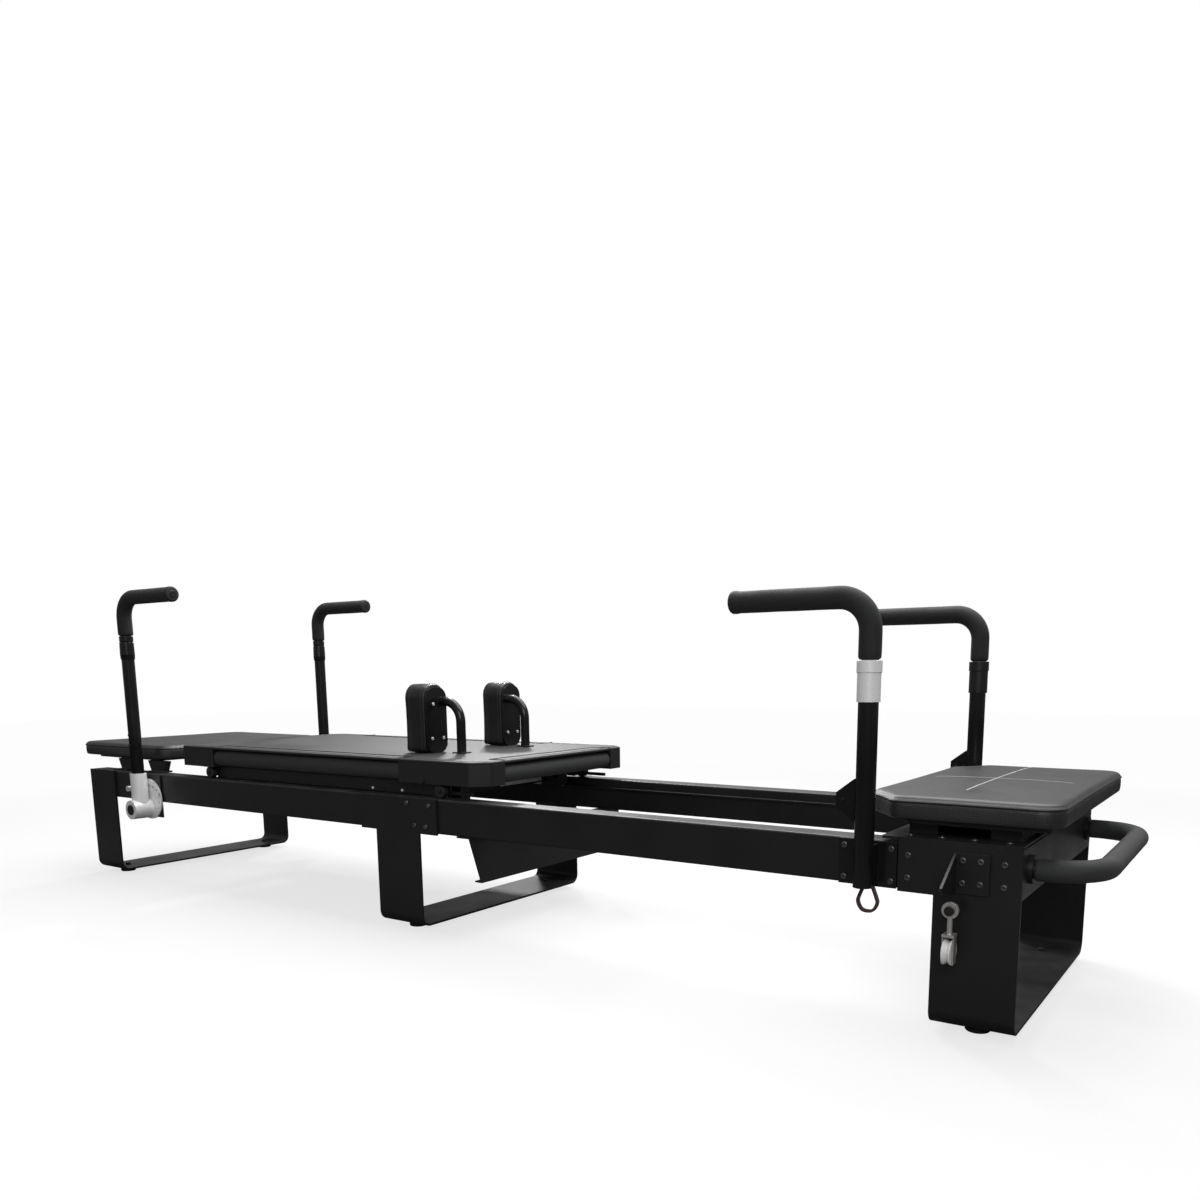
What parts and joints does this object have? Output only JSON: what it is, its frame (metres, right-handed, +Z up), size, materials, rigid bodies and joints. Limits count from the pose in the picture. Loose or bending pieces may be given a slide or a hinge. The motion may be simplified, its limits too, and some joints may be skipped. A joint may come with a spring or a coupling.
{
  "type": "pilates reformer",
  "caption": "Long low exercise frame on U-shaped legs with a rolling padded carriage, padded end platforms, shoulder rests, push bar and telescoping side handles.",
  "frame": {"origin": "middle of the footprint, on the floor", "axes": "+X along the machine towards the push bar, +Y across it, +Z up"},
  "size_m": [3.3499, 0.85, 0.949],
  "materials": {
    "frame_black": "powder coat, satin black",
    "plate_black": "satin black plate",
    "cast_silver": "fine cast",
    "zinc": "zinc plated",
    "foam_black": "closed-cell foam",
    "vinyl_black": "fine-grained vinyl",
    "mat_black": "printed vinyl",
    "deck_black": "moulded, satin",
    "board_black": "black painted board",
    "rubber_black": "moulded",
    "wheel_grey": "urethane",
    "sheave_white": "nylon",
    "strap_dark": "woven webbing"
  },
  "bodies": {
    "frame": {"rail_near_left": "frame_black", "rail_near_right": "frame_black", "rail_far_left": "frame_black", "rail_far_right": "frame_black", "leg_left": "frame_black", "leg_middle": "frame_black", "leg_right": "frame_black", "leg_feet": "rubber_black", "frame_bolts": "plate_black", "end_plate_right": "plate_black", "spring_panel": "frame_black", "platform_support_right": "plate_black", "platform_board_right": "board_black", "platform_pad_right": "vinyl_black", "platform_frame_left": "plate_black", "platform_pad_left": "vinyl_black", "push_bar": "frame_black", "push_bar_foam": "foam_black", "post_right_near": "frame_black", "post_right_far": "frame_black", "collar_right_near": "cast_silver", "collar_right_far": "frame_black", "pivot_bracket_near": "plate_black", "pivot_bracket_far": "plate_black", "index_plate_near": "cast_silver", "index_plate_far": "cast_silver", "pulley_bracket": "plate_black", "pulley_eye_stud": "plate_black"},
    "carriage": {"carriage_deck": "deck_black", "carriage_mat": "mat_black", "carriage_beams": "frame_black", "foam_bar_near": "foam_black", "foam_bar_far": "foam_black", "foam_bar_end": "foam_black", "carriage_side_plates": "zinc"},
    "wheel_near_left": {"wheel_near_left": "wheel_grey"},
    "wheel_near_right": {"wheel_near_right": "wheel_grey"},
    "wheel_far_left": {"wheel_far_left": "wheel_grey"},
    "wheel_far_right": {"wheel_far_right": "wheel_grey"},
    "rest_near": {"shoulder_pad_near": "vinyl_black", "shoulder_bracket_near": "frame_black"},
    "rest_far": {"shoulder_pad_far": "vinyl_black", "shoulder_bracket_far": "frame_black"},
    "grip_right_near": {"grip_tube_right_near": "frame_black", "grip_foam_right_near": "foam_black"},
    "handle_left_near": {"socket_casting_near": "cast_silver", "post_left_near": "frame_black"},
    "grip_left_near": {"grip_tube_left_near": "frame_black", "grip_foam_left_near": "foam_black"},
    "plunger_near": {"index_plunger_near": "zinc"},
    "grip_right_far": {"grip_tube_right_far": "frame_black", "grip_foam_right_far": "foam_black"},
    "handle_left_far": {"socket_casting_far": "cast_silver", "post_left_far": "frame_black"},
    "grip_left_far": {"grip_tube_left_far": "frame_black", "grip_foam_left_far": "foam_black"},
    "plunger_far": {"index_plunger_far": "zinc"},
    "pulley": {"pulley_block": "zinc"},
    "sheave": {"pulley_sheave": "sheave_white"},
    "strap": {"strap_loop": "strap_dark"}
  },
  "joints": [
    {"name": "carriage_slide", "type": "slide", "parent": "frame", "child": "carriage", "axis": [1, 0, 0], "range_m": [-0.095, 0.973]},
    {"name": "wheel_near_left_spin", "type": "hinge", "parent": "carriage", "child": "wheel_near_left", "pos_m": [-0.919, -0.307, 0.38205], "axis": [0, 1, 0], "continuous": true},
    {"name": "wheel_near_right_spin", "type": "hinge", "parent": "carriage", "child": "wheel_near_right", "pos_m": [0.078, -0.307, 0.38205], "axis": [0, 1, 0], "continuous": true},
    {"name": "wheel_far_left_spin", "type": "hinge", "parent": "carriage", "child": "wheel_far_left", "pos_m": [-0.919, 0.307, 0.38205], "axis": [0, 1, 0], "continuous": true},
    {"name": "wheel_far_right_spin", "type": "hinge", "parent": "carriage", "child": "wheel_far_right", "pos_m": [0.078, 0.307, 0.38205], "axis": [0, 1, 0], "continuous": true},
    {"name": "rest_near_lift", "type": "slide", "parent": "carriage", "child": "rest_near", "axis": [0, 0, 1], "range_m": [0, 0.045]},
    {"name": "rest_far_lift", "type": "slide", "parent": "carriage", "child": "rest_far", "axis": [0, 0, 1], "range_m": [0, 0.045]},
    {"name": "grip_right_near_height", "type": "slide", "parent": "frame", "child": "grip_right_near", "axis": [0, 0, 1], "range_m": [0, 0.15]},
    {"name": "handle_left_near_tilt", "type": "hinge", "parent": "frame", "child": "handle_left_near", "pos_m": [-1.217, -0.377, 0.252], "axis": [0, 1, 0], "range_deg": [-16, 80]},
    {"name": "grip_left_near_height", "type": "slide", "parent": "handle_left_near", "child": "grip_left_near", "axis": [0, 0, 1], "range_m": [0, 0.15]},
    {"name": "plunger_near_pull", "type": "slide", "parent": "handle_left_near", "child": "plunger_near", "axis": [0, -1, 0], "range_m": [0, 0.01], "stiffness_N_per_m": 600},
    {"name": "grip_right_far_height", "type": "slide", "parent": "frame", "child": "grip_right_far", "axis": [0, 0, 1], "range_m": [0, 0.15]},
    {"name": "handle_left_far_tilt", "type": "hinge", "parent": "frame", "child": "handle_left_far", "pos_m": [-1.217, 0.377, 0.252], "axis": [0, 1, 0], "range_deg": [-16, 80]},
    {"name": "grip_left_far_height", "type": "slide", "parent": "handle_left_far", "child": "grip_left_far", "axis": [0, 0, 1], "range_m": [0, 0.15]},
    {"name": "plunger_far_pull", "type": "slide", "parent": "handle_left_far", "child": "plunger_far", "axis": [0, 1, 0], "range_m": [0, 0.01], "stiffness_N_per_m": 600},
    {"name": "pulley_swing", "type": "hinge", "parent": "frame", "child": "pulley", "pos_m": [1.42, -0.3755, 0.252], "axis": [0, 1, 0], "range_deg": [-50, 50]},
    {"name": "sheave_spin", "type": "hinge", "parent": "pulley", "child": "sheave", "pos_m": [1.42, -0.3755, 0.173], "axis": [1, 0, 0], "continuous": true},
    {"name": "strap_swing", "type": "hinge", "parent": "frame", "child": "strap", "pos_m": [1.254, -0.3525, 0.283], "axis": [0, 1, 0], "range_deg": [-60, 60]}
  ],
  "couplings": [
    {"joint": "wheel_near_left_spin", "follows": "carriage_slide", "rad_per_m": 55.556},
    {"joint": "wheel_near_right_spin", "follows": "carriage_slide", "rad_per_m": 55.556},
    {"joint": "wheel_far_left_spin", "follows": "carriage_slide", "rad_per_m": 55.556},
    {"joint": "wheel_far_right_spin", "follows": "carriage_slide", "rad_per_m": 55.556}
  ]
}
